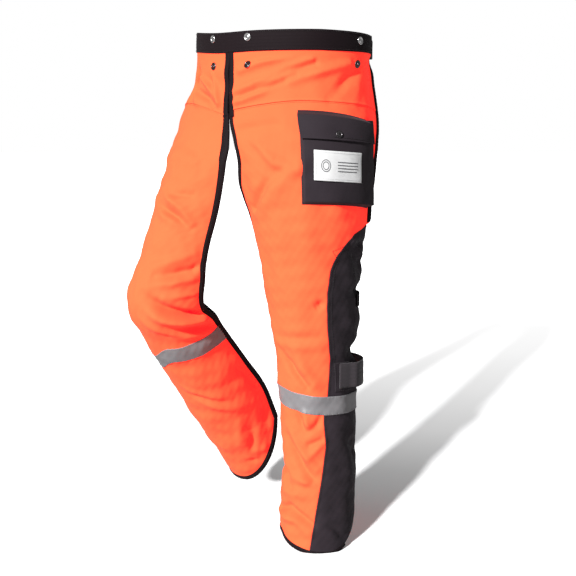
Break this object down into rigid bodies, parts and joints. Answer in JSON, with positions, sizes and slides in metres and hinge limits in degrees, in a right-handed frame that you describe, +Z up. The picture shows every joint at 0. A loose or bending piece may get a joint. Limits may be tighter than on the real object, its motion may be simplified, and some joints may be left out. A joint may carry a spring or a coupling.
{
  "type": "chainsaw chaps",
  "caption": "Wrap-style chainsaw chaps: waistband with back belt, two padded orange legs with charcoal calf wraps, cargo pocket, reflective tape, snaps and leg straps",
  "frame": {"origin": "centre of the waist opening, 10 mm below the waistband's top edge at the sides", "axes": "+Z up, -Y the way the wearer faces, +X the wearer's left; left leg straight, right leg bent forward as in use"},
  "size_m": [0.4901, 0.3919, 1.0132],
  "materials": {
    "orange_shell": "coated woven polyester, fluorescent orange",
    "charcoal_shell": "heavy woven nylon, charcoal",
    "black_webbing": "woven polyester webbing and binding tape",
    "protective_pad": "layered cut-resistant fibre",
    "lining": "smooth lining cloth",
    "reflective_tape": "retroreflective silver tape",
    "loop_fabric": "hook-and-loop pile",
    "label": "white woven label",
    "snap_metal": "nickel-plated and gunmetal snap fasteners",
    "buckle_plastic": "moulded acetal buckles"
  },
  "bodies": {
    "waist": {"waistband": "black_webbing", "centre_strip": "black_webbing", "band_snap_caps": "snap_metal", "yoke_snap_studs": "snap_metal", "left_yoke": "orange_shell", "right_yoke": "orange_shell", "left_yoke_binding": "black_webbing", "right_yoke_binding": "black_webbing", "left_belt_webbing": "black_webbing", "right_belt_webbing": "black_webbing", "belt_socket": "buckle_plastic"},
    "belt_plug_body": {"belt_plug": "buckle_plastic"},
    "belt_adjuster_body": {"belt_adjuster": "buckle_plastic"},
    "pocket_flap_body": {"pocket_flap": "charcoal_shell", "flap_snap_cap": "snap_metal"},
    "left_thigh": {"left_thigh_shell": "orange_shell", "left_thigh_pad": "protective_pad", "left_thigh_lining": "lining", "left_thigh_wrap": "charcoal_shell", "left_thigh_bindings": "black_webbing", "left_knee_shell": "orange_shell", "left_knee_quilt": "protective_pad", "left_knee_wrap": "charcoal_shell", "left_knee_binding": "black_webbing", "left_knee_webbing": "black_webbing", "left_knee_tail": "black_webbing", "left_knee_socket": "buckle_plastic", "pocket_pouch": "charcoal_shell", "pocket_label": "label", "pocket_stud": "snap_metal"},
    "left_knee_plug_body": {"left_knee_plug": "buckle_plastic"},
    "left_shin": {"left_shin_shell": "orange_shell", "left_shin_pad": "protective_pad", "left_shin_lining": "lining", "left_shin_wrap": "charcoal_shell", "left_shin_binding": "black_webbing", "left_reflective_tape": "reflective_tape", "left_loop_patch": "loop_fabric"},
    "left_calf_strap_body": {"left_calf_strap": "black_webbing"},
    "right_thigh": {"right_thigh_shell": "orange_shell", "right_thigh_pad": "protective_pad", "right_thigh_lining": "lining", "right_thigh_wrap": "charcoal_shell", "right_thigh_bindings": "black_webbing", "right_knee_shell": "orange_shell", "right_knee_quilt": "protective_pad", "right_knee_wrap": "charcoal_shell", "right_knee_binding": "black_webbing", "right_knee_webbing": "black_webbing", "right_knee_tail": "black_webbing", "right_knee_socket": "buckle_plastic"},
    "right_knee_plug_body": {"right_knee_plug": "buckle_plastic"},
    "right_shin": {"right_shin_shell": "orange_shell", "right_shin_pad": "protective_pad", "right_shin_lining": "lining", "right_shin_wrap": "charcoal_shell", "right_shin_binding": "black_webbing", "right_reflective_tape": "reflective_tape", "right_loop_patch": "loop_fabric"},
    "right_calf_strap_body": {"right_calf_strap": "black_webbing"}
  },
  "joints": [
    {"name": "left_hip", "type": "hinge", "parent": "waist", "child": "left_thigh", "pos_m": [0.1, -0.135, -0.086], "axis": [1, 0, 0], "range_deg": [-30, 8], "deforming": ["left_yoke", "left_yoke_binding"]},
    {"name": "left_knee", "type": "hinge", "parent": "left_thigh", "child": "left_shin", "pos_m": [0.104, -0.055, -0.5565], "axis": [1, 0, 0], "range_deg": [0, 38], "deforming": ["left_knee_shell", "left_knee_quilt", "left_knee_wrap", "left_knee_binding"]},
    {"name": "right_hip", "type": "hinge", "parent": "waist", "child": "right_thigh", "pos_m": [-0.1, -0.135, -0.086], "axis": [1, 0, 0], "range_deg": [-8, 22], "deforming": ["right_yoke", "right_yoke_binding"]},
    {"name": "right_knee", "type": "hinge", "parent": "right_thigh", "child": "right_shin", "pos_m": [-0.15996, -0.19023, -0.50258], "axis": [0.9925, 0, -0.1219], "range_deg": [-45, 4], "deforming": ["right_knee_shell", "right_knee_quilt", "right_knee_wrap", "right_knee_binding"]},
    {"name": "pocket_flap_hinge", "type": "hinge", "parent": "left_thigh", "child": "pocket_flap_body", "pos_m": [0.2025, -0.06285, -0.135], "axis": [-0.4947, -0.8691, 0], "range_deg": [0, 105]},
    {"name": "belt_release", "type": "slide", "parent": "waist", "child": "belt_plug_body", "axis": [-1, 0, 0], "range_m": [0, 0.028], "deforming": ["right_belt_webbing"]},
    {"name": "belt_adjust", "type": "slide", "parent": "waist", "child": "belt_adjuster_body", "axis": [1, 0, 0], "range_m": [-0.018, 0.01]},
    {"name": "left_knee_release", "type": "slide", "parent": "left_thigh", "child": "left_knee_plug_body", "axis": [-0.6894, -0.7244, 0], "range_m": [0, 0.022], "deforming": ["left_knee_tail"]},
    {"name": "left_calf_strap_hinge", "type": "hinge", "parent": "left_shin", "child": "left_calf_strap_body", "pos_m": [0.0339, -0.01351, -0.633], "axis": [0, 0, 1], "range_deg": [0, 60]},
    {"name": "right_knee_release", "type": "slide", "parent": "right_thigh", "child": "right_knee_plug_body", "axis": [0.8322, -0.5498, 0.0725], "range_m": [0, 0.022], "deforming": ["right_knee_tail"]},
    {"name": "right_calf_strap_hinge", "type": "hinge", "parent": "right_shin", "child": "right_calf_strap_body", "pos_m": [-0.10217, -0.07047, -0.56517], "axis": [-0.096, 0.6157, -0.7821], "range_deg": [0, 60]}
  ]
}
